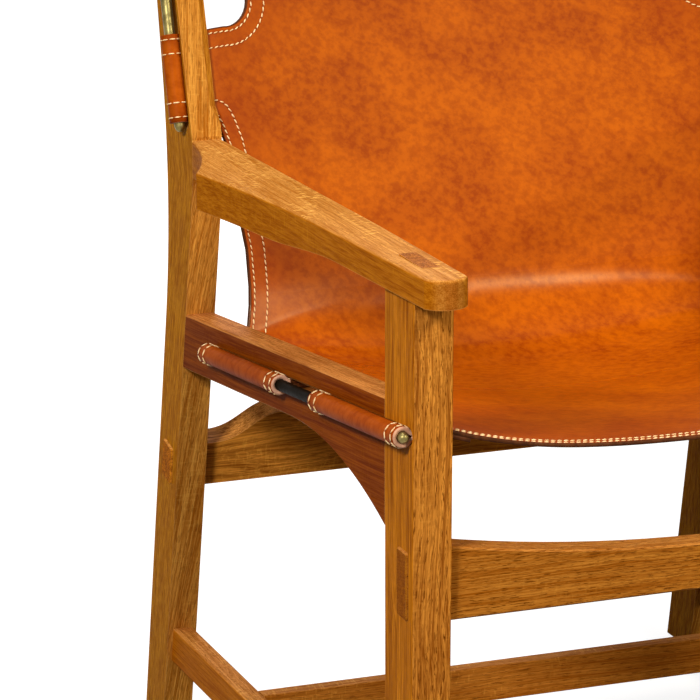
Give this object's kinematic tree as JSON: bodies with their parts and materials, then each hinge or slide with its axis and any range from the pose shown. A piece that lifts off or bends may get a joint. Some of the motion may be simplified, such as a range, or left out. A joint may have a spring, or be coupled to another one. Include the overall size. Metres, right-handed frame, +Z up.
{
  "type": "armchair",
  "caption": "Oak armchair with a one-piece saddle leather sling, sewn in sleeves round brass rods that lie outside slotted side frames.",
  "frame": {"origin": "on the floor, under the middle of the chair's bounding box", "axes": "+Z up, -Y towards the front of the chair, +X towards the sitter's left hand"},
  "size_m": [0.6566, 0.76, 0.843],
  "materials": {
    "oak": "oiled, satin",
    "saddle_leather": "waxed, semi-gloss",
    "brass": "tarnished, satin"
  },
  "bodies": {
    "root": {"armrest_left": "oak", "armrest_right": "oak", "back_rod_left": "brass", "back_rod_right": "brass", "cross_stretcher": "oak", "front_leg_left": "oak", "front_leg_right": "oak", "front_rail": "oak", "rear_post_left": "oak", "rear_post_right": "oak", "rear_rail": "oak", "seat_rail_left": "oak", "seat_rail_right": "oak", "seat_rod_left": "brass", "seat_rod_right": "brass", "side_stretcher_left": "oak", "side_stretcher_right": "oak", "sling": "saddle_leather"}
  },
  "joints": []
}
